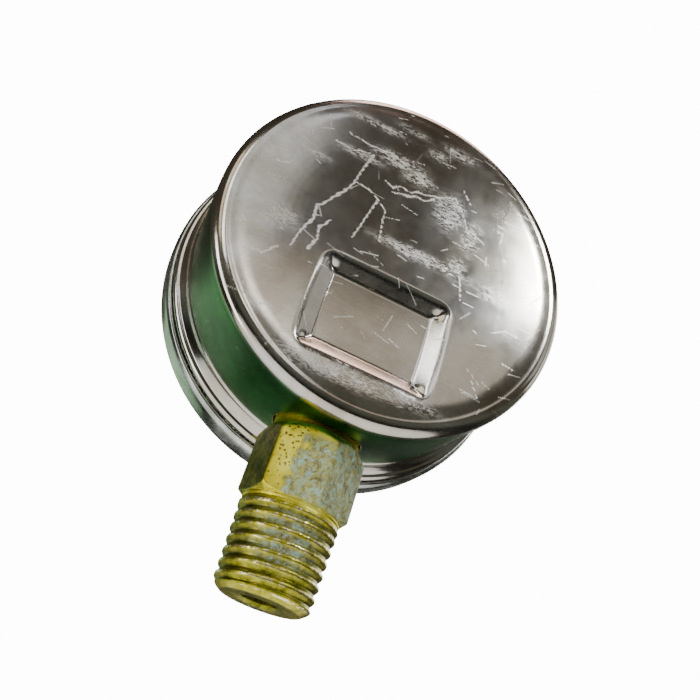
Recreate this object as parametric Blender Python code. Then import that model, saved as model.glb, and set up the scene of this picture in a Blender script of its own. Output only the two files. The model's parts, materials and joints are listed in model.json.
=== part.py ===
"""Pressure gauge with a bottom pipe thread: a C-shaped Bourdon tube drives a geared pointer.

The origin is the middle of the stem's lower end face. +Z runs up the stem, the dial faces -Y and
the pressed steel back faces +Y. All sizes below are in millimetres; the meshes are in metres.
"""
from math import atan2, cos, pi, radians, sin, sqrt, tau

import bmesh
import bpy
from mathutils import Matrix, Vector

MM = 0.001
GAP = 0.3                     # clearance left between pieces that touch

# --- driving dimensions -------------------------------------------------------------------------
DIAL_Z = 48.0                 # dial centre above the stem's end
CASE_R = 26.0                 # outside radius of the drawn case
BACK_Y = 11.5                 # middle of the back
SHEET = 0.6                   # sheet steel thickness
LIP_R = 27.5                  # ridge of the case's flared lip
BEZEL_R = 28.35
FRONT_Y = -15.6
PAD_HALF = (7.0, 4.8)         # half width and half height of the pad's floor
PAD_OUTER = (10.2, 7.8)       # the same at the back's surface
PAD_DZ = -12.3                # middle of the pad below the dial centre
PAD_DEPTH = 1.3

BORE_R = 2.5                  # pressure inlet
THREAD_END_R = 6.3            # crest radius at the stem's end
THREAD_TAPER = 1 / 32         # radius gained per length, a 1 in 16 taper on the diameter
THREAD_PITCH = 1.5
THREAD_DEPTH = 0.6
THREAD_TURNS = 6
THREAD_START = 0.55
BAND_R = 6.45                 # plain band between the thread and the hexagon
HEX_FLATS = 13.0
HEX_Z = (11.8, 21.8)
HEX_TURN = radians(20)        # the back facet looks this far from +Y towards +X
NECK_R = 5.9
BLOCK_HALF = 6.5              # half width of the socket's block and tongue, inside the case
BLOCK_Z = (24.0, 30.4)
BLOCK_FRONT_Y = -6.0
TONGUE_FRONT_Y = 2.5
TONGUE_TOP = 40.4
SOCKET_BACK_Y = BACK_Y - PAD_DEPTH - SHEET - GAP    # the pad presses on the socket here

TUBE_R = 20.5                 # centreline of the Bourdon tube
TUBE_SECTION = (2.2, 6.5)     # thickness and width of the flattened tube
TUBE_WALL = 0.35
TUBE_Y = 1.0
TUBE_ANGLES = (radians(250), radians(-25))

MODULE = 0.3
PINION_TEETH = 8
SECTOR_TEETH = 64             # teeth on a full wheel of the sector's size
SECTOR_CUT = 10               # teeth that the sector carries
CENTRES = MODULE * (PINION_TEETH + SECTOR_TEETH) / 2
SWING = radians(33.75)        # sector swing for a full scale of 270 degrees
TAIL = 5.0                    # sector arbor to the link's pin
LUG = (13.5, -13.2)           # the tube tip's pin, from the dial centre

REAR_PLATE = (1.4, 2.2)       # from and to, along Y
FRONT_PLATE = (-5.8, -5.0)
SECTOR_Y = (-2.6, -1.6)
LINK_Y = (-1.3, -0.7)
DIAL_Y = (-9.7, -9.3)
DIAL_R = 25.4
POINTER_Y = (-10.9, -10.55)
WINDOW_Y = (-14.3, -12.3)
PILLARS = ((-6.2, -13.0), (6.2, 3.0))
FOOT_SCREWS = ((-4.2, -9.8), (4.2, -9.8))
POSTS = ((-5.5, -4.0), (5.5, -4.0))

for item in list(bpy.data.objects):
    bpy.data.objects.remove(item)


# --- materials ----------------------------------------------------------------------------------
def finish(name, colour, roughness, metallic=0.0, transmission=0.0):
    material = bpy.data.materials.new(name)
    material.use_nodes = True
    shader = material.node_tree.nodes["Principled BSDF"]
    shader.inputs["Base Color"].default_value = (*colour, 1)
    shader.inputs["Roughness"].default_value = roughness
    shader.inputs["Metallic"].default_value = metallic
    shader.inputs["Transmission Weight"].default_value = transmission
    material.diffuse_color = (*colour, 1)
    return material


STEEL = finish("stainless_case", (0.42, 0.41, 0.39), 0.28, 1)
BEZEL_STEEL = finish("polished_bezel", (0.55, 0.56, 0.55), 0.18, 1)
BRASS = finish("stem_brass", (0.47, 0.42, 0.12), 0.42, 1)
PLATE_BRASS = finish("movement_brass", (0.62, 0.48, 0.19), 0.3, 1)
BRONZE = finish("tube_bronze", (0.55, 0.33, 0.16), 0.32, 1)
SCREW_STEEL = finish("screw_steel", (0.5, 0.5, 0.5), 0.3, 1)
CLEAR = finish("clear_window", (0.95, 0.97, 0.97), 0.05, 0, 1)
RUBBER = finish("black_rubber", (0.02, 0.02, 0.02), 0.7)
WHITE = finish("white_dial", (0.85, 0.85, 0.82), 0.5)
BLACK = finish("black_pointer", (0.015, 0.015, 0.015), 0.45)


# --- helpers ------------------------------------------------------------------------------------
def at(x, y, dz=0.0):
    """A point given from the dial's centre."""
    return Vector((x, y, DIAL_Z + dz))


def put(name, bm, material, origin=(0, 0, 0)):
    """Make a named object of a mesh drawn in world millimetres, with its origin where asked."""
    bmesh.ops.recalc_face_normals(bm, faces=bm.faces)
    bmesh.ops.translate(bm, verts=bm.verts, vec=-Vector(origin))
    bmesh.ops.scale(bm, verts=bm.verts, vec=(MM, MM, MM))
    mesh = bpy.data.meshes.new(name)
    bm.to_mesh(mesh)
    bm.free()
    mesh.materials.append(material)
    mesh.shade_smooth()
    mesh.set_sharp_from_angle(angle=radians(32))
    piece = bpy.data.objects.new(name, mesh)
    piece.location = Vector(origin) * MM
    bpy.context.scene.collection.objects.link(piece)
    return piece


def combine_with(piece, tool, operation):
    """Use another object, which is then hidden, as the tool of an exact Boolean."""
    tool.hide_render = True
    tool.display_type = "WIRE"
    step = piece.modifiers.new(operation.title(), "BOOLEAN")
    step.operation = operation
    step.solver = "EXACT"
    step.object = tool
    return piece


def combine(piece, bm, operation):
    """Cut a shape from a piece, or join or keep what is common."""
    tool = put(f"{piece.name}_{operation.lower()}_{len(piece.modifiers)}", bm, STEEL)
    return combine_with(piece, tool, operation)


def turned(profile, steps, axis="Y", centre=(0, 0, 0)):
    """Turn a closed outline of (radius, height) points about an axis through a point."""
    bm = bmesh.new()
    points = [bm.verts.new((radius, 0, height)) for radius, height in profile]
    edges = []
    for a, b in zip(points, points[1:] + points[:1]):
        if a.co.x > 0 or b.co.x > 0:
            edges.append(bm.edges.new((a, b)))
    bmesh.ops.spin(bm, geom=points + edges, axis=(0, 0, 1), cent=(0, 0, 0), angle=tau, steps=steps)
    bmesh.ops.remove_doubles(bm, verts=bm.verts, dist=1e-4)
    if axis == "Y":
        bmesh.ops.rotate(bm, verts=bm.verts, matrix=Matrix.Rotation(-pi / 2, 3, "X"))
    bmesh.ops.translate(bm, verts=bm.verts, vec=centre)
    return bm


def pin(radius, span, x, dz, steps=12):
    """A plain round bar along Y."""
    low, high = span
    return turned([(0, low), (radius, low), (radius, high), (0, high)], steps, "Y", at(x, 0, dz))


def bars(places, radius, span, steps=12):
    """Several round bars along Y in one mesh, to drill a plate with."""
    bm = bmesh.new()
    for x, dz in places:
        bar = bpy.data.meshes.new("bar")
        one = pin(radius, span, x, dz, steps)
        one.to_mesh(bar)
        one.free()
        bm.from_mesh(bar)
        bpy.data.meshes.remove(bar)
    return bm


def prism(outline, span, axis="Y"):
    """Extrude a flat outline, of (x, z) points along Y or (x, y) points along Z."""
    low, high = span
    bm = bmesh.new()
    if axis == "Y":
        ring = [bm.verts.new((x, low, z)) for x, z in outline]
        way = (0, high - low, 0)
    else:
        ring = [bm.verts.new((x, y, low)) for x, y in outline]
        way = (0, 0, high - low)
    face = bm.faces.new(ring)
    grown = bmesh.ops.extrude_face_region(bm, geom=[face])["geom"]
    moved = [v for v in grown if isinstance(v, bmesh.types.BMVert)]
    bmesh.ops.translate(bm, verts=moved, vec=way)
    return bm


def rounded(half_x, half_z, corner, x=0.0, dz=0.0, per_corner=3):
    """The outline of a rectangle with round corners, from the dial's centre."""
    points = []
    for k, (sx, sz) in enumerate(((1, 1), (-1, 1), (-1, -1), (1, -1))):
        for step in range(per_corner + 1):
            turn = (k + step / per_corner) * pi / 2
            points.append((
                x + sx * (half_x - corner) + corner * cos(turn),
                DIAL_Z + dz + sz * (half_z - corner) + corner * sin(turn),
            ))
    return points


def loft(rings):
    """Skin a stack of closed rings that have the same number of points, and cap both ends."""
    bm = bmesh.new()
    stack = [[bm.verts.new(p) for p in ring] for ring in rings]
    count = len(stack[0])
    for low, high in zip(stack, stack[1:]):
        for k in range(count):
            n = (k + 1) % count
            bm.faces.new((low[k], low[n], high[n], high[k]))
    bm.faces.new(stack[0])
    bm.faces.new(stack[-1])
    return bm


def spoke(radius, angle, centre=(0, 0)):
    """A point on a circle seen from the front: angle 0 is at 3 o'clock, 90 degrees is at 12."""
    return centre[0] + radius * cos(angle), centre[1] + radius * sin(angle)


# --- case: one drawn cup, with a pad pressed in to meet the socket --------------------------------
case_outside = [
    (0, BACK_Y), (20, BACK_Y), (22.6, 11.33), (23.8, 11.12), (24.7, 11.0),
    (25.4, 10.7), (25.85, 10.1), (CASE_R, 9.3), (25.7, -5.0), (25.85, -6.2), (26.25, -7.2),
    (26.85, -7.95), (27.35, -8.4), (LIP_R, -8.85), (27.3, -9.2), (27.0, -9.4), (27.0, -10.7),
]
case_inside = [
    (26.4, -10.7), (26.4, -9.2), (26.2, -8.5), (25.5, -7.6), (25.15, -6.2), (25.05, -5.0),
    (25.4, 9.2), (25.1, 9.9), (24.4, 10.45), (22.5, 10.75), (20, 10.9), (0, 10.9),
]
case = put("case", turned(case_outside + case_inside, 56, "Y", at(0, 0)), STEEL)


def pad(extra, levels):
    """The pressed pad as a closed block: wide at the back's surface, narrow at its floor."""
    rings = []
    for y, share in levels:
        half_x = PAD_HALF[0] + (PAD_OUTER[0] - PAD_HALF[0]) * share + extra
        half_z = PAD_HALF[1] + (PAD_OUTER[1] - PAD_HALF[1]) * share + extra
        corner = 1.2 + 3.2 * share + extra
        rings.append([(x, y, z) for x, z in rounded(half_x, half_z, corner, 0, PAD_DZ, 4)])
    return loft(rings)


floor_y = BACK_Y - PAD_DEPTH
combine(case, pad(SHEET, ((floor_y - SHEET, -0.05), (floor_y + 0.1, 0.5), (BACK_Y - 0.3, 1.0))), "UNION")
hollow = ((floor_y, 0.0), (floor_y + 0.5, 0.4), (BACK_Y, 1.0), (BACK_Y + 0.4, 1.1))
combine(case, pad(0, hollow), "DIFFERENCE")
stem_hole = turned([(0, -5), (NECK_R + GAP, -5), (NECK_R + GAP, 6), (0, 6)], 24, "Z", (0, 0, 20))
combine(case, stem_hole, "DIFFERENCE")

# --- bezel, window and its gasket ----------------------------------------------------------------
bezel_profile = [
    (27.3, -9.65), (27.55, -9.5), (28.0, -9.75), (28.28, -10.3), (BEZEL_R, -11.2), (BEZEL_R, -14.2),
    (28.1, -14.95), (27.5, -15.4), (26.6, FRONT_Y), (25.4, FRONT_Y), (24.8, -15.3), (24.6, -14.9),
    (24.75, -14.6), (26.7, -14.6), (27.3, -14.2),
]
put("bezel_ring", turned(bezel_profile, 56, "Y", at(0, 0)), BEZEL_STEEL)
window_profile = [(0, WINDOW_Y[0]), (26.7, WINDOW_Y[0]), (27.0, -14.0), (27.0, WINDOW_Y[1]),
                  (0, WINDOW_Y[1])]
put("window_glass", turned(window_profile, 48, "Y", at(0, 0)), CLEAR)
gasket_profile = [(25.4, -12.0), (26.9, -12.0), (26.9, -11.0), (25.4, -11.0)]
put("window_gasket", turned(gasket_profile, 40, "Y", at(0, 0)), RUBBER)


# --- socket: thread, hexagon, neck, block and tongue in one piece of brass ------------------------
def tapered_thread(sides=24):
    """A taper pipe thread: four rows a turn climb a helix, closed by a ring at each end."""
    shape = ((0.0, 0), (0.14, 0), (0.5, 1), (0.64, 1))        # part of a pitch, depth (0 is the root)
    rows = []
    for row in range(THREAD_TURNS * len(shape) + 1):
        turn, phase = divmod(row, len(shape))
        part, depth = shape[phase]
        rows.append((THREAD_START + (turn + part) * THREAD_PITCH, depth))

    def ring(height, radius):
        return [bm.verts.new((*spoke(radius, tau * k / sides), height)) for k in range(sides)]

    bm = bmesh.new()
    last_z = rows[-1][0] + THREAD_PITCH
    end = ring(0.0, THREAD_END_R - THREAD_DEPTH - 0.15)
    helix = []
    for height, depth in rows:
        line = []
        for k in range(sides):
            z = height + THREAD_PITCH * k / sides
            fade = min(1.0, (z - THREAD_START) / 0.9, max(0.0, (last_z - z) / 0.5))
            radius = THREAD_END_R + THREAD_TAPER * z - THREAD_DEPTH * (1 - depth * fade)
            line.append(bm.verts.new((*spoke(radius, tau * k / sides), z)))
        helix.append(line)
    band = ring(last_z + 0.2, BAND_R)
    top = ring(HEX_Z[0] + 0.5, NECK_R)                        # ends inside the hexagon
    rise = len(shape)
    for low, high in zip(helix, helix[1:]):
        for k in range(sides - 1):
            bm.faces.new((low[k], low[k + 1], high[k + 1], high[k]))
    for row in range(len(helix) - 1 - rise):                  # the seam climbs one pitch a turn
        low, high = helix[row], helix[row + 1]
        up, over = helix[row + rise], helix[row + rise + 1]
        bm.faces.new((low[-1], up[0], over[0], high[-1]))
    for k in range(sides - 1):
        bm.faces.new((end[k], end[k + 1], helix[0][k + 1], helix[0][k]))
        bm.faces.new((helix[-1][k], helix[-1][k + 1], band[k + 1], band[k]))
    for k in range(sides):
        n = (k + 1) % sides
        bm.faces.new((band[k], band[n], top[n], top[k]))
    start = [helix[row][0] for row in range(rise, -1, -1)]
    bm.faces.new([end[-1], end[0], *reversed(start), helix[0][-1]])
    finish_run = [helix[row][-1] for row in range(len(helix) - 1 - rise, len(helix))]
    bm.faces.new([*finish_run, band[-1], band[0], helix[-1][0]])
    bm.faces.new(end)
    bm.faces.new(top)
    return bm


def hexagon():
    """The wrench hexagon, its first facet turned off the back."""
    corner = HEX_FLATS / sqrt(3)
    first = pi / 2 - HEX_TURN + pi / 6
    return [spoke(corner, first + k * pi / 3) for k in range(6)]


socket = put("socket", tapered_thread(), BRASS)
hex_core = put("socket_hexagon", prism(hexagon(), HEX_Z, "Z"), BRASS)
low_z, high_z = HEX_Z
chamfer = [(0, low_z - 1), (6.1, low_z - 1), (6.1, low_z), (7.6, low_z + 1.2),
           (7.6, high_z - 1.5), (6.2, high_z - 0.1), (6.2, high_z + 1), (0, high_z + 1)]
combine(hex_core, turned(chamfer, 36, "Z"), "INTERSECT")
combine_with(socket, hex_core, "UNION")
combine(socket, turned([(0, 20), (NECK_R, 20), (NECK_R, 25), (0, 25)], 36, "Z"), "UNION")
block = [(-BLOCK_HALF, BLOCK_Z[0]), (BLOCK_HALF, BLOCK_Z[0]), (BLOCK_HALF, BLOCK_Z[1]), (-BLOCK_HALF, BLOCK_Z[1])]
combine(socket, prism(block, (BLOCK_FRONT_Y, SOCKET_BACK_Y)), "UNION")
tongue = [(-BLOCK_HALF, BLOCK_Z[1] - 1), (BLOCK_HALF, BLOCK_Z[1] - 1), (BLOCK_HALF, TONGUE_TOP - 1),
          (BLOCK_HALF - 1, TONGUE_TOP), (1 - BLOCK_HALF, TONGUE_TOP), (-BLOCK_HALF, TONGUE_TOP - 1)]
combine(socket, prism(tongue, (TONGUE_FRONT_Y, SOCKET_BACK_Y - 0.05)), "UNION")
bore_profile = [(0, -1), (BORE_R, -1), (BORE_R, 12), (1.4, 13), (1.4, 29), (0, 29)]
combine(socket, turned(bore_profile, 20, "Z"), "DIFFERENCE")


# --- Bourdon tube and the pocket that holds its fixed end -----------------------------------------
def tube_ring(angle, thick, wide, sides=10):
    """One oval section of the tube, square to the centreline."""
    ring = []
    for k in range(sides):
        turn = tau * k / sides
        radius = TUBE_R + thick / 2 * cos(turn)
        x, z = spoke(radius, angle)
        ring.append((x, TUBE_Y + wide / 2 * sin(turn), DIAL_Z + z))
    return ring


def bourdon(steps=26):
    """A hollow oval tube bent to a C, open at both ends."""
    bm = bmesh.new()
    skins = []
    for wall in (0, 2 * TUBE_WALL):
        skin = []
        for k in range(steps + 1):
            angle = TUBE_ANGLES[0] + (TUBE_ANGLES[1] - TUBE_ANGLES[0]) * k / steps
            section = tube_ring(angle, TUBE_SECTION[0] - wall, TUBE_SECTION[1] - wall)
            skin.append([bm.verts.new(p) for p in section])
        skins.append(skin)
    count = len(skins[0][0])
    for skin in skins:
        for low, high in zip(skin, skin[1:]):
            for k in range(count):
                n = (k + 1) % count
                bm.faces.new((low[k], low[n], high[n], high[k]))
    for end in (0, -1):
        outer, inner = skins[0][end], skins[1][end]
        for k in range(count):
            n = (k + 1) % count
            bm.faces.new((outer[k], outer[n], inner[n], inner[k]))
    return bm


put("bourdon_tube", bourdon(), BRONZE)


def slot_along(angle, back, ahead, grow):
    """A block round the tube's end: it runs back and ahead of the point at that angle."""
    x, z = spoke(TUBE_R, angle)
    along = Vector((-sin(angle), 0, cos(angle)))
    across = Vector((cos(angle), 0, sin(angle)))
    middle = at(x, TUBE_Y, z)
    half = TUBE_SECTION[0] / 2 + grow
    wide = TUBE_SECTION[1] / 2 + grow
    corners = ((half, wide), (-half, wide), (-half, -wide), (half, -wide))
    rings = []
    for reach in (-back, ahead):
        rings.append([middle + along * reach + across * a + Vector((0, b, 0)) for a, b in corners])
    return loft(rings)


combine(socket, slot_along(TUBE_ANGLES[0], 2.5, 7.2, GAP), "DIFFERENCE")
combine(socket, bars(FOOT_SCREWS, 0.95, (1.0, 7.0)), "DIFFERENCE")

# --- tube tip: a cap on the tube's free end, with a lug for the link ------------------------------
half_arc = (TUBE_ANGLES[0] - TUBE_ANGLES[1]) / 2
centroid = TUBE_R * sin(half_arc) / half_arc
TIP_PIVOT = spoke(centroid, (TUBE_ANGLES[0] + TUBE_ANGLES[1]) / 2)
tip_origin = at(TIP_PIVOT[0], 0, TIP_PIVOT[1])
tip_block = slot_along(TUBE_ANGLES[1], 2.6, 1.6, GAP + 0.7)
tip = put("tube_tip_block", tip_block, PLATE_BRASS, tip_origin)
tip_x, tip_z = spoke(TUBE_R, TUBE_ANGLES[1])
reach = atan2(LUG[1] - tip_z, LUG[0] - tip_x)
lug_outline = [(LUG[0] + 1.3 * cos(reach + turn), DIAL_Z + LUG[1] + 1.3 * sin(reach + turn))
               for turn in (radians(a) for a in range(-90, 91, 30))]
root = (tip_x - 1.2 * cos(reach) + 0.6, DIAL_Z + tip_z - 1.2 * sin(reach) - 1.2)
for side in (1, -1):
    lug_outline.append((root[0] - side * 1.3 * sin(reach), root[1] + side * 1.3 * cos(reach)))
combine(tip, prism(lug_outline, SECTOR_Y), "UNION")
combine(tip, slot_along(TUBE_ANGLES[1], 0.35, 4.0, GAP), "DIFFERENCE")
combine(tip, bars((LUG,), 0.85, (-4, 1)), "DIFFERENCE")
pin_profile = [(0, -3.2), (1.15, -3.2), (1.15, -2.9), (0.5, -2.9), (0.5, -0.35), (0, -0.35)]
put("link_pin_tip", turned(pin_profile, 12, "Y", at(LUG[0], 0, LUG[1])), SCREW_STEEL, tip_origin)

# --- sector: toothed segment, tail, arbor and the link it pulls -----------------------------------
SECTOR_AT = (0.0, -CENTRES)
sector_origin = at(0, 0, -CENTRES)
TAIL_AT = spoke(TAIL, -pi / 2 - SWING / 2, SECTOR_AT)


def teeth(count, whole, middle, centre):
    """The outline of some teeth of a wheel, as (x, z) points from the dial's centre."""
    pitch_r = MODULE * whole / 2
    step = tau / whole
    points = []
    for k in range(count):
        angle = middle + (k - (count - 1) / 2) * step
        for radius, share in ((-1.0, -0.24), (0.6, -0.09), (0.6, 0.09), (-1.0, 0.24)):
            points.append(spoke(pitch_r + radius * MODULE, angle + share * step, centre))
    return points


def turned_back(points, angle, centre):
    """Turn (x, z) points about a centre."""
    c, s = cos(angle), sin(angle)
    result = []
    for x, z in points:
        dx, dz = x - centre[0], z - centre[1]
        result.append((centre[0] + c * dx - s * dz, centre[1] + s * dx + c * dz))
    return result


def raised(points):
    return [(x, DIAL_Z + z) for x, z in points]


arc = SECTOR_CUT / 2 * tau / SECTOR_TEETH
flank = ((9.2, arc), (7.9, arc), (7.6, 0.30), (2.6, 0.75), (2.2, 1.35))      # radius, angle from the middle
sector_outline = [spoke(radius, pi / 2 - angle, SECTOR_AT) for radius, angle in reversed(flank)]
sector_outline += teeth(SECTOR_CUT, SECTOR_TEETH, pi / 2, SECTOR_AT)
sector_outline += [spoke(radius, pi / 2 + angle, SECTOR_AT) for radius, angle in flank]
sector_outline.append(spoke(2.1, pi + 0.55, SECTOR_AT))
sector_outline += [spoke(1.25, -pi + k * pi / 4, (0, -CENTRES - TAIL)) for k in range(5)]
sector_outline.append(spoke(2.1, -0.55, SECTOR_AT))
sector_outline = turned_back(sector_outline, -SWING / 2, SECTOR_AT)
sector = put("sector_gear", prism(raised(sector_outline), SECTOR_Y), PLATE_BRASS, sector_origin)
combine(sector, bars((SECTOR_AT,), 0.85, (-4, 0), 16), "DIFFERENCE")
combine(sector, bars((TAIL_AT,), 0.8, (-4, 0), 12), "DIFFERENCE")
arbor_profile = [(0, -5.6), (0.5, -5.6), (0.5, -1.3), (1.7, -1.3), (1.7, -0.3), (0.5, -0.3), (0.5, 2.0),
                 (0, 2.0)]
put("sector_arbor", turned(arbor_profile, 14, "Y", sector_origin), SCREW_STEEL, sector_origin)
tail_pin = [(0, -3.2), (1.1, -3.2), (1.1, -2.9), (0.5, -2.9), (0.5, -0.4), (0, -0.4)]
put("link_pin_sector", turned(tail_pin, 12, "Y", at(TAIL_AT[0], 0, TAIL_AT[1])), SCREW_STEEL, sector_origin)

link_way = atan2(LUG[1] - TAIL_AT[1], LUG[0] - TAIL_AT[0])
link_outline = []
for end, first, eye in ((LUG, -60, 1.45), (TAIL_AT, 120, 1.35)):
    for k in range(7):
        turn = link_way + radians(first + 20 * k)
        link_outline.append(spoke(eye, turn, end))
    step = 1 if end is LUG else -1
    neck = Vector(end) - Vector((cos(link_way), sin(link_way))) * 2.4 * step
    side = Vector((-sin(link_way), cos(link_way))) * 0.7 * step
    link_outline.append(tuple(neck + side))
    far = Vector(TAIL_AT if end is LUG else LUG) + Vector((cos(link_way), sin(link_way))) * 2.4 * step
    link_outline.append(tuple(far + side))
link = put("link", prism(raised(link_outline), LINK_Y), SCREW_STEEL, at(TAIL_AT[0], 0, TAIL_AT[1]))
combine(link, bars((LUG,), 1.0, (-3, 1)), "DIFFERENCE")
combine(link, bars((TAIL_AT,), 0.85, (-3, 1)), "DIFFERENCE")

# --- pinion arbor, hairspring, pointer -------------------------------------------------------------
dial_centre = at(0, 0)
pinion_teeth = teeth(PINION_TEETH, PINION_TEETH, -pi / 2 + pi / PINION_TEETH, (0, 0))
pinion = put("pinion_arbor", prism(raised(pinion_teeth), (-3.1, -1.1)), SCREW_STEEL, dial_centre)
combine(pinion, pin(0.45, (-11.2, 2.0), 0, 0), "UNION")
collet_profile = [(0.75, -4.5), (1.5, -4.5), (1.5, -3.5), (0.75, -3.5)]
put("hairspring_collet", turned(collet_profile, 16, "Y", dial_centre), PLATE_BRASS, dial_centre)


def hairspring(first=1.85, last=4.6, turns=4, thick=0.14, span=(-4.4, -3.7), per_turn=14):
    """A flat strip wound in a spiral round the pinion arbor."""
    rings = []
    for k in range(turns * per_turn + 1):
        radius = first + (last - first) * k / (turns * per_turn)
        angle = tau * k / per_turn
        inner, outer = spoke(radius, angle), spoke(radius + thick, angle)
        rings.append([(inner[0], span[0], DIAL_Z + inner[1]), (outer[0], span[0], DIAL_Z + outer[1]),
                      (outer[0], span[1], DIAL_Z + outer[1]), (inner[0], span[1], DIAL_Z + inner[1])])
    return loft(rings)


put("hairspring", hairspring(), BRONZE, dial_centre)
put("hairspring_stud", pin(0.6, (-4.65, -3.3), 5.75, 0, 10), PLATE_BRASS)

POINTER_REST = radians(225)
needle = [(19.5, 0.0), (19.0, 0.16), (3.0, 0.75), (2.6, 1.5), (1.5, 2.6), (-1.5, 2.6), (-2.6, 1.4),
          (-3.4, 0.9), (-5.0, 0.9), (-6.2, 1.7), (-7.4, 1.7), (-7.9, 0.9)]
needle += [(x, -z) for x, z in reversed(needle[1:])]
needle = turned_back(needle, POINTER_REST, (0, 0))
pointer = put("pointer", prism(raised(needle), POINTER_Y), BLACK, dial_centre)
combine(pointer, pin(1.75, (-12, -9), 0, 0, 20), "DIFFERENCE")
hub_profile = [(0, -11.9), (1.9, -11.9), (2.2, -11.7), (2.2, -11.2), (1.4, -11.2), (1.4, -10.2),
               (0.8, -10.2), (0.8, -11.5), (0, -11.5)]
put("pointer_hub", turned(hub_profile, 24, "Y", dial_centre), SCREW_STEEL, dial_centre)


# --- movement plates, pillars and screws -----------------------------------------------------------
def plate(name, span, holes):
    outline = [(-7.6, -15.0), (7.6, -15.0), (7.6, 3.6), (6.6, 4.6), (-3.0, 4.6), (-7.6, 0.0)]
    piece = put(name, prism(raised(outline), span), PLATE_BRASS)
    for radius, places in holes:
        combine(piece, bars(places, radius, (span[0] - 1, span[1] + 1)), "DIFFERENCE")
    return piece


bearings = ((0.85, ((0, 0), SECTOR_AT)), (0.95, PILLARS))
plate("movement_rear_plate", REAR_PLATE, (*bearings, (0.95, FOOT_SCREWS)))
plate("movement_front_plate", FRONT_PLATE, (*bearings, (0.95, POSTS)))
for number, (x, dz) in enumerate(PILLARS, 1):
    outline = [(0.95, -4.7), (1.4, -4.7), (1.4, 1.1), (0.6, 1.1), (0.6, 2.1), (0, 2.1), (0, -2.0),
               (0.95, -2.0)]
    put(f"pillar_{number}", turned(outline, 14, "Y", at(x, 0, dz)), PLATE_BRASS)
    outline = [(0, -6.9), (1.1, -6.9), (1.3, -6.7), (1.3, -6.1), (0.6, -6.1), (0.6, -2.4), (0, -2.4)]
    put(f"pillar_screw_{number}", turned(outline, 14, "Y", at(x, 0, dz)), SCREW_STEEL)


def slotted(screw, top, x, dz):
    """Cut a screwdriver slot across a head that faces the dial side."""
    reach, half = 2.5, 0.2
    corners = raised([(x - reach, dz - half), (x + reach, dz - half),
                      (x + reach, dz + half), (x - reach, dz + half)])
    return combine(screw, prism(corners, (top - 1, top + 0.35)), "DIFFERENCE")


for number, (x, dz) in enumerate(FOOT_SCREWS, 1):
    outline = [(0, 0.2), (1.4, 0.2), (1.6, 0.4), (1.6, 1.1), (0.6, 1.1), (0.6, 6.4), (0, 6.4)]
    screw = put(f"movement_screw_{number}", turned(outline, 14, "Y", at(x, 0, dz)), SCREW_STEEL)
    slotted(screw, 0.2, x, dz)
for number, (x, dz) in enumerate(PILLARS, 1):
    slotted(bpy.data.objects[f"pillar_screw_{number}"], -6.9, x, dz)

# --- dial, its posts, screws and the pointer's stop ------------------------------------------------
STOP_AT = spoke(15.0, POINTER_REST + radians(4.6))
dial_profile = [(0, DIAL_Y[0]), (DIAL_R, DIAL_Y[0]), (DIAL_R, DIAL_Y[1]), (0, DIAL_Y[1])]
dial = put("dial_plate", turned(dial_profile, 48, "Y", at(0, 0)), WHITE)
combine(dial, bars(((0, 0),), 1.2, (-11, -8), 16), "DIFFERENCE")
combine(dial, bars(POSTS, 0.95, (-11, -8)), "DIFFERENCE")
combine(dial, bars((STOP_AT,), 0.8, (-11, -8)), "DIFFERENCE")
stop_profile = [(0, -11.3), (0.45, -11.3), (0.45, -9.0), (1.0, -9.0), (1.0, -8.7), (0, -8.7)]
put("zero_stop_pin", turned(stop_profile, 12, "Y", at(STOP_AT[0], 0, STOP_AT[1])), SCREW_STEEL)
for number, (x, dz) in enumerate(POSTS, 1):
    outline = [(0.95, -9.0), (1.6, -9.0), (1.6, -6.1), (0.6, -6.1), (0.6, -4.9), (0, -4.9), (0, -7.0),
               (0.95, -7.0)]
    put(f"dial_post_{number}", turned(outline, 14, "Y", at(x, 0, dz)), PLATE_BRASS)
    outline = [(0, -10.4), (1.3, -10.4), (1.5, -10.25), (1.5, -10.0), (0.6, -10.0), (0.6, -7.4), (0, -7.4)]
    put(f"dial_screw_{number}", turned(outline, 14, "Y", at(x, 0, dz)), SCREW_STEEL)

# --- restrictor in the inlet -----------------------------------------------------------------------
restrictor = put("restrictor_screw", turned([(0.5, 3.0), (2.1, 3.0), (2.1, 6.5), (0.5, 6.5)], 18, "Z"), BRASS)
slot = prism([(-3, -0.35), (3, -0.35), (3, 0.35), (-3, 0.35)], (2.0, 3.8), "Z")
combine(restrictor, slot, "DIFFERENCE")
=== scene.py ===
# %% [markdown]
# # A pressure gauge, seen from behind
# A small pressure gauge is a drawn steel cup with a press-on bezel, and a brass stem with a taper
# pipe thread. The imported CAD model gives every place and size. This script dresses it: fine meshes for the
# pieces that show, and a procedural material for every piece.

# %% Load the frame
import json
from math import cos, pi, radians, sin, tau

import bpy
import numpy as np
from mathutils import Matrix, Vector, noise


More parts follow.
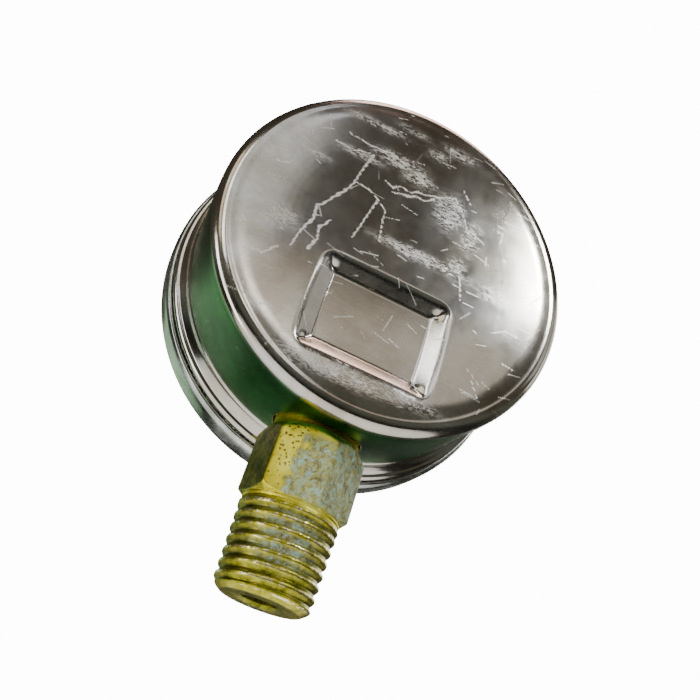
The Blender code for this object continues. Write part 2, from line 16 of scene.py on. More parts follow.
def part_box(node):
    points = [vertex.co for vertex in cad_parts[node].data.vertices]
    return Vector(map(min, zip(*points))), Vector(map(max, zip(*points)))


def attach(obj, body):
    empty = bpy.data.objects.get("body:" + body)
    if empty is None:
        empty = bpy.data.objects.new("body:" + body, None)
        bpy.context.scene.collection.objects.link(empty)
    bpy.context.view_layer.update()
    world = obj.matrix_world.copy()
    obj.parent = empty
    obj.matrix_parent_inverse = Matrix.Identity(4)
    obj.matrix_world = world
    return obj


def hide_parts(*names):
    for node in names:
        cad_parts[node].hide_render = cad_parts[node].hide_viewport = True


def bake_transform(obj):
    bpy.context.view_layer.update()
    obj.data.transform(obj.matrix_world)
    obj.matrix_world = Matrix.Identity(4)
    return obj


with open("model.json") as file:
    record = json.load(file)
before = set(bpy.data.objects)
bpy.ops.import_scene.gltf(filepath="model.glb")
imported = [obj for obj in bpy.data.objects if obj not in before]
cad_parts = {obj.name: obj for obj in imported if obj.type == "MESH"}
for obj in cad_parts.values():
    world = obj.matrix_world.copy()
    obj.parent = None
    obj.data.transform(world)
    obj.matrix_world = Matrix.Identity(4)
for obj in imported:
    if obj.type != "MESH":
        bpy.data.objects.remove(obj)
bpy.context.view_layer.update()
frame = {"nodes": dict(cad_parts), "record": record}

MM = 0.001
nodes = frame["nodes"]

# %% [markdown]
# ## Measures taken from the frame
# Everything round about the dial shares one centre, and everything on the stem shares the axis x = 0, y = 0.
# Both are read from the boxes of CAD nodes, so the looks follow the CAD if its sizes change.


# %% Centres and main sizes, in millimetres
def box_mm(name):
    low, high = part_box(name)
    return np.array(low) / MM, np.array(high) / MM


case_low, case_high = box_mm("case")
bezel_low, bezel_high = box_mm("bezel_ring")
stem_high = box_mm("socket")[1]
DIAL_Z = (bezel_low[2] + bezel_high[2]) / 2
BACK_Y = case_high[1]
LIP_R = (case_high[0] - case_low[0]) / 2
BEZEL_R = (bezel_high[0] - bezel_low[0]) / 2
FRONT_Y = bezel_low[1]
WINDOW_LOW, WINDOW_HIGH = (corner[1] for corner in box_mm("window_glass"))
DIAL_R = (box_mm("dial_plate")[1][0] - box_mm("dial_plate")[0][0]) / 2
DIAL_FRONT = box_mm("dial_plate")[0][1]
CASE_R = 26.0
print(f"dial centre {DIAL_Z:.2f}, back {BACK_Y:.2f}, lip r {LIP_R:.2f}, bezel r {BEZEL_R:.2f} mm")

# %% [markdown]
# ## Two ways to make a turned or wrapped skin
# Drawn, spun and turned metal is round about an axis, so a skin is a grid: rows run along the profile and
# columns run round the axis. Every row closes on itself. A first or last row of radius 0 becomes one
# point, and a profile that ends where it began makes a ring. Numpy builds such a grid quickly, and it can be
# pushed about before it becomes a mesh.


# %% Profiles with rounded corners
def rounded_path(points, steps=6):
    """Round the corners of a profile. Each point is (radius, height, fillet)."""
    path = []
    last = len(points) - 1
    for i, (r, h, fillet) in enumerate(points):
        here = np.array((r, h))
        if fillet == 0 or i in (0, last):
            path.append(here)
            continue
        back = np.array(points[i - 1][:2]) - here
        ahead = np.array(points[i + 1][:2]) - here
        reach = min(fillet, np.linalg.norm(back) * 0.5, np.linalg.norm(ahead) * 0.5)
        a = here + back / np.linalg.norm(back) * reach
        b = here + ahead / np.linalg.norm(ahead) * reach
        for k in range(steps + 1):
            t = k / steps
            path.append(a * (1 - t) ** 2 + here * 2 * t * (1 - t) + b * t ** 2)
    return np.array(path)


def evenly(path, spacing):
    """Add points so that no step along the path is longer than the spacing."""
    dense = [path[0]]
    for a, b in zip(path, path[1:]):
        parts = max(1, int(np.ceil(np.linalg.norm(b - a) / spacing)))
        for k in range(1, parts + 1):
            dense.append(a + (b - a) * k / parts)
    return np.array(dense)


# %% Grids that become meshes
def around_y(path, columns):
    """Rows of points round the dial's axis, from a path of (radius, y)."""
    turn = np.arange(columns) * tau / columns
    r, y = path[:, :1], path[:, 1:]
    return np.stack([r * np.cos(turn), y + 0 * turn, DIAL_Z + r * np.sin(turn)], axis=-1)


def around_z(path, columns):
    """Rows of points round the stem's axis, from a path of (radius, z)."""
    turn = np.arange(columns) * tau / columns
    r, z = path[:, :1], path[:, 1:]
    return np.stack([r * np.cos(turn), r * np.sin(turn), z + 0 * turn], axis=-1)


def skin(name, grid, ring=False, inside_out=False, **attributes):
    """Make a closed mesh object from a grid of rows, with numbers stored at its points."""
    rows, columns = grid.shape[:2]
    points = grid.reshape(-1, 3)
    index = np.arange(rows * columns).reshape(rows, columns)
    low = index if ring else index[:-1]
    high = np.roll(index, -1, axis=0) if ring else index[1:]
    quads = np.stack([low, np.roll(low, -1, axis=1), np.roll(high, -1, axis=1), high], axis=-1)
    faces = quads.reshape(-1, 4).tolist()
    if not ring:
        points = np.vstack([points, grid[0].mean(axis=0), grid[-1].mean(axis=0)])
        first, last = rows * columns, rows * columns + 1
        for k in range(columns):
            n = (k + 1) % columns
            faces.append([first, int(index[0, n]), int(index[0, k])])
            faces.append([last, int(index[-1, k]), int(index[-1, n])])
    if inside_out:
        faces = [face[::-1] for face in faces]
    mesh = bpy.data.meshes.new(name)
    mesh.from_pydata((points * MM).tolist(), [], faces)
    for key, values in attributes.items():
        layer = mesh.attributes.new(key, "FLOAT", "POINT")
        values = np.asarray(values, dtype=np.float32).reshape(-1)
        layer.data.foreach_set("value", np.pad(values, (0, len(points) - len(values)), mode="edge"))
    mesh.validate()
    mesh.shade_smooth()
    piece = bpy.data.objects.new(name, mesh)
    bpy.context.scene.collection.objects.link(piece)
    print(f"{name}: {len(mesh.vertices)} points, {len(mesh.polygons)} faces")
    return piece


# %% Tools that cut or join
def drill(x, z, radius, span, sides=24):
    """A round tool along y, from one end of the span to the other."""
    rows = [[(x + radius * cos(t), y, z + radius * sin(t)) for t in np.arange(sides) * tau / sides]
            for y in span]
    return skin("drill", np.array(rows), inside_out=True)


def combine(piece, tool, operation="DIFFERENCE"):
    """Add a Boolean step to a piece. It is worked out when the steps are applied."""
    step = piece.modifiers.new(operation.title(), "BOOLEAN")
    step.operation, step.object = operation, tool


def apply_steps(piece):
    """Apply a piece's modifiers in order, then remove the tools they used."""
    tools = [step.object for step in piece.modifiers if step.type == "BOOLEAN"]
    for step in list(piece.modifiers):
        with bpy.context.temp_override(object=piece, active_object=piece):
            bpy.ops.object.modifier_apply(modifier=step.name)
    for tool in tools:
        bpy.data.objects.remove(tool)


# %% [markdown]
# ## A node helper and a colour helper
# All materials are made of nodes. One function adds a node, sets its properties and either sets or links its
# inputs. Colours are written as the sRGB hex values a painter would pick, and turned to linear light.


# %% Colours and nodes
def linear(code):
    channels = [int(code[i:i + 2], 16) / 255 for i in (1, 3, 5)]
    return (*[c / 12.92 if c <= 0.04045 else ((c + 0.055) / 1.055) ** 2.4 for c in channels], 1.0)


def add(tree, kind, links=None, **settings):
    """Add one node. Settings are its properties, and links its inputs: values or other outputs."""
    node = tree.nodes.new(kind)
    for key, value in settings.items():
        setattr(node, key, value)
    for key, value in (links or {}).items():
        socket = node.inputs[key]
        if isinstance(value, bpy.types.NodeSocket):
            tree.links.new(value, socket)
        else:
            socket.default_value = value
    return node


def ramp(tree, source, *stops):
    """A colour ramp from (position, colour) stops."""
    node = add(tree, "ShaderNodeValToRGB", {"Fac": source})
    band = node.color_ramp.elements
    while len(band) > 1:
        band.remove(band[-1])
    for i, (position, colour) in enumerate(stops):
        stop = band[0] if i == 0 else band.new(position)
        stop.position = position
        stop.color = linear(colour) if isinstance(colour, str) else (colour, colour, colour, 1)
    return node.outputs["Color"]


def blend_colour(tree, factor, a, b):
    node = add(tree, "ShaderNodeMix", data_type="RGBA")
    for socket, value in ((node.inputs[0], factor), (node.inputs[6], a), (node.inputs[7], b)):
        if isinstance(value, bpy.types.NodeSocket):
            tree.links.new(value, socket)
        elif isinstance(value, str):
            socket.default_value = linear(value)
        else:
            socket.default_value = value
    return node.outputs[2]


def start(name):
    """A new material's tree and its Principled shader."""
    material = bpy.data.materials.new(name)
    material.use_nodes = True
    tree = material.node_tree
    return material, tree, tree.nodes["Principled BSDF"]


def place(tree, scale=(1, 1, 1), turn=(0, 0, 0)):
    """Object coordinates in millimetres, stretched and turned."""
    coords = add(tree, "ShaderNodeTexCoord").outputs["Object"]
    per_mm = tuple(s / MM for s in scale)
    return add(tree, "ShaderNodeMapping", {"Vector": coords, "Scale": per_mm, "Rotation": turn}).outputs[0]


def grain(tree, size, scale=(1, 1, 1), turn=(0, 0, 0), detail=3.0, rough=0.55, twist=0.0):
    """Noise whose features are about this many millimetres across."""
    links = {"Vector": place(tree, scale, turn), "Scale": 1 / size, "Detail": detail,
             "Roughness": rough, "Distortion": twist}
    return add(tree, "ShaderNodeTexNoise", links).outputs["Fac"]


def stored(tree, name):
    return add(tree, "ShaderNodeAttribute", attribute_name=name).outputs["Fac"]


def maths(tree, operation, a, b, clamp=False):
    return add(tree, "ShaderNodeMath", {0: a, 1: b}, operation=operation, use_clamp=clamp).outputs[0]


def bump(tree, shader, height, distance, strength):
    links = {"Height": height, "Distance": distance * MM, "Strength": strength}
    node = add(tree, "ShaderNodeBump", links)
    tree.links.new(node.outputs["Normal"], shader.inputs["Normal"])


# %% [markdown]
# ## The case
# The real case is one stainless cup, drawn from sheet and tumbled about for years. Its back is very slightly
# crowned, it has a fine rolled line inside the rim, and near the stem a pad is pressed in until it meets
# the socket, where it is welded. Toward the front the wall flares through a cove into a ridge that
# holds the bezel. A lathe profile gives the cup. The pad is pressed into the grid by moving
# points, as the punch does, because that keeps the sheet one closed skin.

# %% The pad's depth over the back
PAD_DEPTH = 1.3
PAD_DZ = -12.3                # the pad's middle, below the dial's centre
PAD_FLOOR = (7.0, 4.8)        # half width and half height of the flat floor
PAD_RIM = (10.2, 7.8)         # the same at the surface


def smooth(low, high, value):
    t = np.clip((value - low) / (high - low), 0, 1)
    return t * t * (3 - 2 * t)


def softer(a, b, width):
    """The smaller of two values, with a rounded corner between them."""
    h = np.clip(0.5 + 0.5 * (b - a) / width, 0, 1)
    return b * (1 - h) + a * h - width * h * (1 - h)


def wall_shape(share):
    """The pad's wall from 0 at the rim to 1 on the floor: a wide round, a straight slope, a tight round."""
    rim, foot = 0.42, 0.14
    run = 1 - rim / 2 - foot / 2
    t = np.clip(share, 0, 1)
    slope = np.where(t < 1 - foot, t - rim / 2, run - (1 - t) ** 2 / (2 * foot))
    return np.where(t < rim, t * t / (2 * rim), slope) / run


def pressed(x, z):
    """How deep the pad is at (x, z) from the dial's centre: 0 on the back, up to its depth on the floor."""
    u, v = np.abs(x), np.abs(z - PAD_DZ)
    edge = PAD_RIM[0] + 0.5 - 0.9 * (v / PAD_RIM[1]) ** 2         # the short outer edges bow out
    side = (edge - u) / (edge - PAD_FLOOR[0])
    rise = (PAD_RIM[1] - v) / (PAD_RIM[1] - PAD_FLOOR[1])
    corner = 3.2
    du = np.maximum(u - (PAD_RIM[0] + 0.1 - corner), 0)
    dv = np.maximum(v - (PAD_RIM[1] - corner), 0)
    outside = (corner - np.hypot(du, dv)) / 1.8
    share = softer(softer(side, rise, 0.10), outside, 0.16)
    pockets = 0.16 * np.exp(-((u - 7.9) ** 2 / 0.35 + (v - 5.6) ** 2 / 0.25))
    return PAD_DEPTH * wall_shape(share) + pockets * smooth(0, 0.3, share)


# %% The cup's skin
SHEET = 0.6
outside = rounded_path([
    (0, BACK_Y, 0), (9, BACK_Y - 0.03, 3), (16, BACK_Y - 0.14, 3), (22.4, BACK_Y - 0.38, 2),
    (23.9, BACK_Y - 0.62, 0.6), (24.35, BACK_Y - 0.62, 0.25), (25.2, BACK_Y - 0.85, 0.6),
    (25.95, BACK_Y - 1.6, 0.9), (CASE_R, BACK_Y - 3.2, 0.8), (25.72, -5.0, 0.3), (25.92, -5.25, 0.15),
    (26.0, -6.2, 0.9), (26.45, -7.3, 0.8), (26.75, -7.75, 0.25), (27.1, -7.75, 0.3), (LIP_R, -8.15, 0.35),
    (LIP_R, -8.8, 0.3), (27.15, -9.25, 0.2), (27.0, -9.6, 0.2), (27.0, -10.7, 0.1),
])
inside = rounded_path([
    (26.4, -10.7, 0.1), (26.4, -9.2, 0.3), (26.0, -8.2, 0.8), (25.2, -6.3, 0.8), (25.1, -5.0, 0.3),
    (25.4, 8.6, 0.6), (25.1, 9.6, 0.6), (24.2, 10.2, 0.8), (22.4, BACK_Y - 0.38 - SHEET, 2),
    (16, BACK_Y - 0.14 - SHEET, 3), (9, BACK_Y - 0.03 - SHEET, 3), (0, BACK_Y - SHEET, 0),
])
outer_rows = evenly(outside, 0.15)
inner_rows = evenly(inside, 0.5)
path = np.vstack([outer_rows, inner_rows])[1:-1]
COLUMNS = 720
case_grid = around_y(path, COLUMNS)
x_back, z_back = case_grid[..., 0], case_grid[..., 2] - DIAL_Z
is_back = (path[:, 1] > BACK_Y - 2.4)[:, None]
case_grid[..., 1] -= np.where(is_back, pressed(x_back, z_back), 0)
print("case rows", len(path), "deepest press", round(float(pressed(x_back, z_back).max()), 2), "mm")

# %% [markdown]
# ## Years of scratches
# A loose gauge gets long hair scratches, wandering scribbles and matt scuffs. Each stroke is
# a short list of points on the back, in millimetres from the dial's centre as seen from the front. The
# distance from every mesh point to the strokes is stored on the mesh, and the material turns it to worn
# metal. Small hairlines come from a seeded random generator.

# %% The strokes on the back
STROKES = [
    (0.13, [(8.0, 12.8), (9.2, 6.8), (11.0, 2.9), (12.9, 0.4), (12.7, -1.9), (13.7, -4.8), (14.2, -7.1)]),
    (0.115, [(8.9, 6.9), (7.0, 6.8), (5.3, 5.9), (3.7, 4.6), (3.6, 2.9), (3.2, -0.4)]),
    (0.115, [(5.2, 5.7), (5.9, 2.4), (6.5, 0.1), (7.0, -1.7)]),
    (0.13, [(10.5, -0.9), (11.6, -2.6), (11.3, -4.4), (11.9, -6.6)]),
    (0.13, [(5.0, 9.4), (3.9, 9.1), (2.8, 9.7), (1.0, 9.8), (-0.5, 10.5), (-2.0, 10.7), (-3.8, 11.6),
            (-5.2, 12.2)]),
    (0.115, [(3.7, 8.3), (2.2, 8.5), (0.5, 9.3), (-1.0, 9.5), (-2.6, 10.4)]),
    (0.11, [(-5.6, 12.4), (-7.2, 10.6), (-8.8, 7.8)]),
    (0.11, [(-6.4, 14.6), (-8.1, 12.6)]),
    (0.115, [(12.2, 14.6), (8.8, 14.2), (4.8, 14.7)]),
    (0.11, [(13.8, 12.2), (11.0, 12.0), (8.6, 12.9)]),
    (0.11, [(17.8, 12.4), (16.6, 10.9)]),
    (0.10, [(20.4, 4.4), (18.3, 4.9)]),
    (0.115, [(15.6, -8.3), (17.4, -10.0), (19.2, -10.4)]),
    (0.115, [(-8.6, 1.6), (-9.7, -1.2), (-10.2, -3.2)]),
]
SCUFFS = [                     # x, z, half length, half width, strength
    (4.2, 13.9, 3.6, 1.1, 1.0), (0.8, 12.6, 2.2, 1.3, 0.9), (-5.2, 9.6, 2.0, 2.6, 1.0),
    (9.6, 11.9, 3.0, 0.7, 0.8), (-3.2, 0.2, 6.0, 0.8, 1.0), (-8.4, 1.2, 1.2, 1.6, 0.7),
    (-14.6, -0.2, 2.2, 1.0, 0.7), (-1.2, 18.4, 1.8, 1.1, 0.6), (-4.2, 20.6, 2.6, 1.0, 0.7),
    (9.0, 18.6, 4.2, 0.7, 0.7), (3.4, 20.6, 3.0, 0.8, 0.5), (15.8, 8.4, 2.0, 0.5, 0.6),
    (2.5, -21.0, 7.0, 1.1, 0.9), (-7.5, -20.4, 4.0, 1.0, 0.6), (16.8, -3.6, 2.2, 1.6, 0.5),
    (-9.4, 7.0, 1.4, 2.6, 0.6),
]


def stroke_mask(x, z, width, points, wander, seed):
    """1 on a stroke and 0 away from it. The stroke wanders a little, as a dragged burr does."""
    mask = np.zeros_like(x)
    shift = wander * (np.sin(x * 2.7 + seed) + 0.6 * np.sin(z * 7.3 + x * 3.1 + 2 * seed)
                      + 0.35 * np.sin(z * 17.9 - x * 9.7))
    for (ax, az), (bx, bz) in zip(points, points[1:]):
        dx, dz = bx - ax, bz - az
        t = np.clip(((x - ax) * dx + (z - az) * dz) / (dx * dx + dz * dz), 0, 1)
        away = np.hypot(x + shift - ax - t * dx, z + shift - az - t * dz)
        mask = np.maximum(mask, 1 - smooth(width * 0.5, width * 1.6, away))
    return mask


WANDER = 0.10                  # how far a stroke strays from its points
STROKE_STRENGTH = 0.85
HAIRLINES, HAIRLINE_WIDTH = 170, 0.05
rng = np.random.default_rng(7)
on_back = np.broadcast_to(is_back, x_back.shape) & (np.arange(len(path)) < len(outer_rows))[:, None]
bx, bz = x_back[on_back], z_back[on_back]
scratch = np.zeros_like(bx)
for number, (width, points) in enumerate(STROKES):
    scratch = np.maximum(scratch, STROKE_STRENGTH * stroke_mask(bx, bz, width, points, WANDER, number))
for number in range(HAIRLINES):
    x0, z0 = rng.uniform(-22, 22), rng.uniform(-22, 24)
    way, length = rng.normal(radians(178), 0.35), rng.uniform(0.5, 3.0)
    if rng.random() < 0.3:
        way = rng.uniform(0, pi)
    points = [(x0, z0), (x0 + length * cos(way), z0 + length * sin(way))]
    strength = rng.uniform(0.25, 0.8)
    scratch = np.maximum(scratch, strength * stroke_mask(bx, bz, HAIRLINE_WIDTH, points, 0, number))
scuff = np.zeros_like(bx)
for x0, z0, long, wide, strength in SCUFFS:
    scuff = np.maximum(scuff, strength * np.exp(-(((bx - x0) / long) ** 2 + ((bz - z0) / wide) ** 2)))
scratch_all, scuff_all = np.zeros_like(x_back), np.zeros_like(x_back)
scratch_all[on_back], scuff_all[on_back] = scratch, scuff
print("back points", int(on_back.sum()), "scratched share", round(float((scratch > 0.5).mean()), 3))

# %% [markdown]
# The wall's green is a painted reflection of green surroundings, faded out toward both rims. How green
# each point is depends only on how far along the wall it lies, so it is stored on the mesh as well.

# %% The case object
STEM_HOLE_R = 6.2
STEM_HOLE_SPAN = (18.0, 26.0)
height = np.broadcast_to(path[:, 1][:, None], x_back.shape)
# Painted green reflection on the wall, faded out toward both rims
green = smooth(10.2, 8.6, height) * smooth(-5.15, -4.4, height)
green = np.where((np.arange(len(path)) < len(outer_rows))[:, None], green, 0)
case = skin("case_shell", case_grid, inside_out=True, scratch=scratch_all, scuff=scuff_all, green=green)
combine(case, skin("stem_hole", around_z(np.array([(STEM_HOLE_R, z) for z in STEM_HOLE_SPAN]), 64)))
apply_steps(case)
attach(case, "gauge_body")
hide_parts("case")
print("case after its hole:", len(case.data.vertices), "points")

# %% [markdown]
# ## Drawn stainless
# Stainless sheet is a warm grey metal. Drawing and tumbling leave a fine satin with soft
# stains, so the colour drifts between grey and brown over 10 to 20 mm, and roughness drifts with it.
# Scratches are paler and rougher than the sheet. The same material carries the wall's green, a painted
# reflection of green surroundings, as a darker, glossier metal colour. The satin lines are drawn 0.12 mm
# apart, coarser than real ones, so that they show.


# %% Material: drawn stainless
def drawn_stainless():
    material, tree, shader = start("drawn_stainless_scratched")
    cloud = grain(tree, 14, detail=4, twist=0.4)
    blotch = grain(tree, 3.2, detail=5, rough=0.62)
    base = ramp(tree, cloud, (0.30, "#a39b8c"), (0.46, "#bdb7ab"), (0.62, "#cbc9c6"))
    base = blend_colour(tree, ramp(tree, blotch, (0.40, 0.0), (0.66, 0.5)), base, "#a39b8c")
    hair = grain(tree, 0.12, scale=(0.06, 1, 1), turn=(0, radians(24), 0), detail=2)
    streak = ramp(tree, hair, (0.52, 0.0), (0.72, 1.0))
    base = blend_colour(tree, maths(tree, "MULTIPLY", streak, 0.22), base, "#dad9d4")

    fine = grain(tree, 0.35, detail=6, rough=0.75, twist=1.0)
    broken = ramp(tree, fine, (0.36, 0.0), (0.50, 1.0))
    scribble = grain(tree, 0.42, scale=(0.3, 1, 1), turn=(0, radians(20), 0), detail=6, rough=0.8, twist=1.6)
    worn = maths(tree, "MULTIPLY", stored(tree, "scuff"), ramp(tree, scribble, (0.47, 0.0), (0.56, 1.0)))
    gaps = maths(tree, "ADD", maths(tree, "MULTIPLY", broken, 0.55), 0.45)
    lines = maths(tree, "MULTIPLY", stored(tree, "scratch"), gaps)
    marks = maths(tree, "MAXIMUM", worn, lines, clamp=True)
    base = blend_colour(tree, maths(tree, "MULTIPLY", marks, 0.85), base, "#e9e6dc")

    # The green band on the wall is a painted reflection of green surroundings, broken by specks
    green_mask = stored(tree, "green")
    speck = ramp(tree, grain(tree, 0.9, detail=5), (0.26, 0.7), (0.36, 1.0))
    green_reflection_colour = ramp(tree, grain(tree, 9, detail=3), (0.32, "#08400f"), (0.52, "#0f5c1a"), (0.70, "#1c7028"))
    green_reflection_cover = maths(tree, "MULTIPLY", green_mask, speck)
    base = blend_colour(tree, green_reflection_cover, base, green_reflection_colour)
    tree.links.new(base, shader.inputs["Base Color"])
    tree.links.new(ramp(tree, marks, (0.0, 1.0), (1.0, 0.35)), shader.inputs["Metallic"])

    rough = ramp(tree, blotch, (0.30, 0.12), (0.70, 0.19))
    rough = blend_colour(tree, marks, rough, (0.62, 0.62, 0.62, 1))
    rough = blend_colour(tree, green_reflection_cover, rough, (0.30, 0.30, 0.30, 1))
    tree.links.new(rough, shader.inputs["Roughness"])
    relief = maths(tree, "ADD", maths(tree, "MULTIPLY", hair, 0.25), maths(tree, "MULTIPLY", marks, -0.4))
    bump(tree, shader, relief, 0.008, 0.6)
    return material


case.data.materials.append(drawn_stainless())
print("case material ready")

# %% [markdown]
# ## The bezel
# The bezel is a rolled stainless ring, pressed over the ridge of the case. It is polished more than the
# case, and its rounded rear edge catches a bright line all the way round. A fine ring profile is enough.

# %% Bezel ring
bezel_path = evenly(rounded_path([
    (27.3, -9.85, 0.1), (27.5, -9.52, 0.2), (27.9, -9.55, 0.35), (28.25, -10.1, 0.6), (BEZEL_R, -11.2, 0.9),
    (BEZEL_R, -14.1, 0.7), (28.05, -15.2, 0.7), (27.0, FRONT_Y, 0.7), (25.4, FRONT_Y, 0.5),
    (24.65, -15.25, 0.3), (24.6, -14.7, 0.2), (26.9, -14.6, 0.3), (27.3, -14.1, 0.3), (27.3, -9.85, 0),
]), 0.3)
bezel = skin("bezel_ring_polished", around_y(bezel_path[:-1], 360), ring=True, inside_out=True)
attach(bezel, "gauge_body")
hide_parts("bezel_ring")


# %% [markdown]
# Polished stainless is a bright, slightly cool metal with low roughness. Handling dulls it in
# patches, and random patches of green are painted on the ring as reflections of green surroundings.

# %% Material: polished stainless
def polished_stainless():
    material, tree, shader = start("polished_stainless_ring")
    dull = grain(tree, 5, detail=5, rough=0.6)
    base = ramp(tree, dull, (0.32, "#8f918b"), (0.52, "#b7b9b4"), (0.70, "#cfd0cc"))
    # Painted reflection: random green patches stand for the green surroundings mirrored in the ring
    green_reflection_patches = ramp(tree, grain(tree, 2.2, detail=4), (0.46, 0.0), (0.64, 0.5))
    base = blend_colour(tree, green_reflection_patches, base, "#7f9a80")
    tree.links.new(base, shader.inputs["Base Color"])
    shader.inputs["Metallic"].default_value = 1.0
    tree.links.new(ramp(tree, dull, (0.30, 0.16), (0.70, 0.32)), shader.inputs["Roughness"])
    bump(tree, shader, grain(tree, 0.2, detail=4), 0.006, 0.35)
    return material


bezel.data.materials.append(polished_stainless())

# %% [markdown]
# ## The stem
# The stem is one bar of hexagon brass, turned at both ends: a round collar against the case, the wrench
# flats, a plain band, and a taper pipe thread. The radius of such a part is a plain function of angle and
# height. So the skin is one grid, and each feature is the smaller of two radii, just as
# each tool takes its cut. The lathe's soft corners, the helix and the dents all come from that function.

# %% The stem's radius at an angle and a height
THREAD_PITCH = 1.5
THREAD_DEPTH = 0.42
THREAD_SPAN = (0.5, 10.8)
THREAD_END_R = 6.3
TAPER = 1 / 32                # in radius, for each unit of height
BAND_R = 6.5                  # the plain band between thread and flats
FLAT = 6.5                    # axis to a wrench flat
HEX_CORNER_R = 7.42           # the corners are turned down to this
HEX_SPAN = (11.8, 21.2)
HEX_TURN = radians(20)
CHAMFER_R = 6.3
COLLAR_R = 6.42
COLLAR_TOP = 21.95
NECK_R = 5.9                  # inside the case's hole


def groove(turn, z):
    """1 in the bottom of the thread's groove and 0 on its crest."""
    phase = np.mod(z / THREAD_PITCH - turn / tau, 1.0)
    away = np.abs(phase - 0.5) * 2
    run_in = smooth(THREAD_SPAN[0] - 0.4, THREAD_SPAN[0] + 0.5, z)
    run_out = smooth(THREAD_SPAN[1], THREAD_SPAN[1] - 0.7, z)
    return (1 - smooth(0.0, 0.9, away)) * (run_in * run_out)


def stem_radius(turn, z):
    crest = THREAD_END_R + TAPER * z
    thread = crest - THREAD_DEPTH * groove(turn, z)
    thread = softer(thread, 5.15 + 1.3 * np.maximum(z, 0) ** 0.8, 0.25)
    band = BAND_R - 0.12 * np.exp(-((z - HEX_SPAN[0] + 0.4) / 0.12) ** 2)
    sector = np.mod(turn - (pi / 2 - HEX_TURN) + pi / 6, pi / 3) - pi / 6
    flats = softer(FLAT / np.cos(sector), HEX_CORNER_R + 0 * turn, 0.12)
    low_cone = CHAMFER_R + 1.5 * (z - HEX_SPAN[0])
    high_cone = COLLAR_R + 1.15 * (HEX_SPAN[1] - z)
    hexagon = softer(softer(flats, low_cone, 0.15), np.maximum(high_cone, COLLAR_R), 0.15)
    collar = softer(COLLAR_R + 0 * z, NECK_R + 0.9 * np.maximum(COLLAR_TOP - z, 0), 0.12)
    r = np.where(z < THREAD_SPAN[1] + 0.1, thread, band)
    r = np.where(z > HEX_SPAN[0], hexagon, r)
    r = np.where(z > HEX_SPAN[1], collar, r)
    return np.where(z > COLLAR_TOP, NECK_R, r)


# %% The stem's skin
STEM_COLUMNS = 420
stem_turn = np.arange(STEM_COLUMNS) * tau / STEM_COLUMNS
stem_z = np.concatenate([np.arange(0.0, 12.4, 0.075), np.arange(12.4, 22.0, 0.15), [22.0, 23.0, 23.9]])
turn_grid, z_grid = np.meshgrid(stem_turn, stem_z)
r_grid = stem_radius(turn_grid, z_grid)
groove_grid = groove(turn_grid, z_grid)


def wobble(x, y, z, size, seed):
    """Smooth noise in mm space, read point by point."""
    out = np.empty(x.size)
    for i, p in enumerate(zip(x.flat, y.flat, z.flat)):
        out[i] = noise.noise(Vector(p) / size + Vector((seed, 0, 0)))
    return out.reshape(x.shape)


x0, y0 = r_grid * np.cos(turn_grid), r_grid * np.sin(turn_grid)
dents = wobble(x0, y0, z_grid, 1.1, 3.0)
small = wobble(x0, y0, z_grid, 0.35, 9.0)
on_thread = (z_grid < THREAD_SPAN[1]) & (z_grid > 0.4)
crest_knocks = 0.10 * np.minimum(dents + 0.12, 0) * (1 - groove_grid)
knocks = np.where(on_thread, crest_knocks, 0.045 * np.minimum(dents, 0))
r_grid = r_grid + knocks + np.where(z_grid < 22, 0.012 * small - 0.012, 0)
stem_skin = np.stack([r_grid * np.cos(turn_grid), r_grid * np.sin(turn_grid), z_grid], axis=-1)
bore = evenly(rounded_path([
    (5.0, 0, 0), (2.9, 0, 0), (2.5, 0.4, 0.1), (2.5, 12, 0.2), (1.4, 13, 0.2), (1.4, 22, 0),
]), 0.6)
bore_skin = around_z(bore[::-1], STEM_COLUMNS)
whole_stem = np.concatenate([bore_skin, stem_skin])
print("stem rows:", len(bore_skin), "in the bore and", len(stem_skin), "outside")

# %% [markdown]
# ## Where the brass is bright, tarnished and green, and where shade and highlight are painted
# Brass tarnishes to olive brown, and grows pale green patina where water sits: in the thread's grooves
# and over part of a wrench flat. Crests and corners are rubbed bright; on the side that looks back the
# crests' pale colour is also a painted highlight. The olive also paints shade on the two side flats of the
# hexagon and on the stem's end face. Those maps are worked out once from the shape, and stored on the mesh
# for the material to break up with fine noise.

# %% Maps for the brass
facing = (turn_grid - (pi / 2 - HEX_TURN) + pi) % tau - pi      # 0 on the flat that looks back
across = FLAT * np.sin(facing)
on_hex = smooth(11.6, 12.3, z_grid) * smooth(21.8, 20.8, z_grid)
front_flat = (np.abs(facing) < pi / 6).astype(float)
patch_edge = -0.9 + 0.10 * (z_grid - 14) + 0.06 * np.maximum(z_grid - 17.5, 0) ** 2 + 1.3 * dents
patch = front_flat * smooth(-0.5, 0.5, across - patch_edge) * smooth(20.6, 19.4, z_grid)
right_flat = smooth(0.50, 0.56, facing) * smooth(1.62, 1.56, facing)
left_flat = smooth(-0.50, -0.56, facing) * smooth(-1.62, -1.56, facing)
patina = on_hex * np.maximum(patch, 0.75 * right_flat)
wet = np.exp(-((facing - 0.25) / 0.62) ** 2) * smooth(3.0, 5.0, z_grid) * smooth(10.6, 9.6, z_grid)
patina = np.maximum(patina, wet * np.clip(groove_grid * 1.9 - 0.2, 0, 1))
tarnish = np.clip(0.72 + 0.28 * groove_grid, 0, 1) * smooth(HEX_SPAN[0] - 0.2, HEX_SPAN[0] - 1.0, z_grid)
# The two side flats of the hexagon take olive too: painted shade beside the flat that looks back
tarnish = np.maximum(tarnish, on_hex * (left_flat + 0.9 * right_flat + 0.4 * patch))
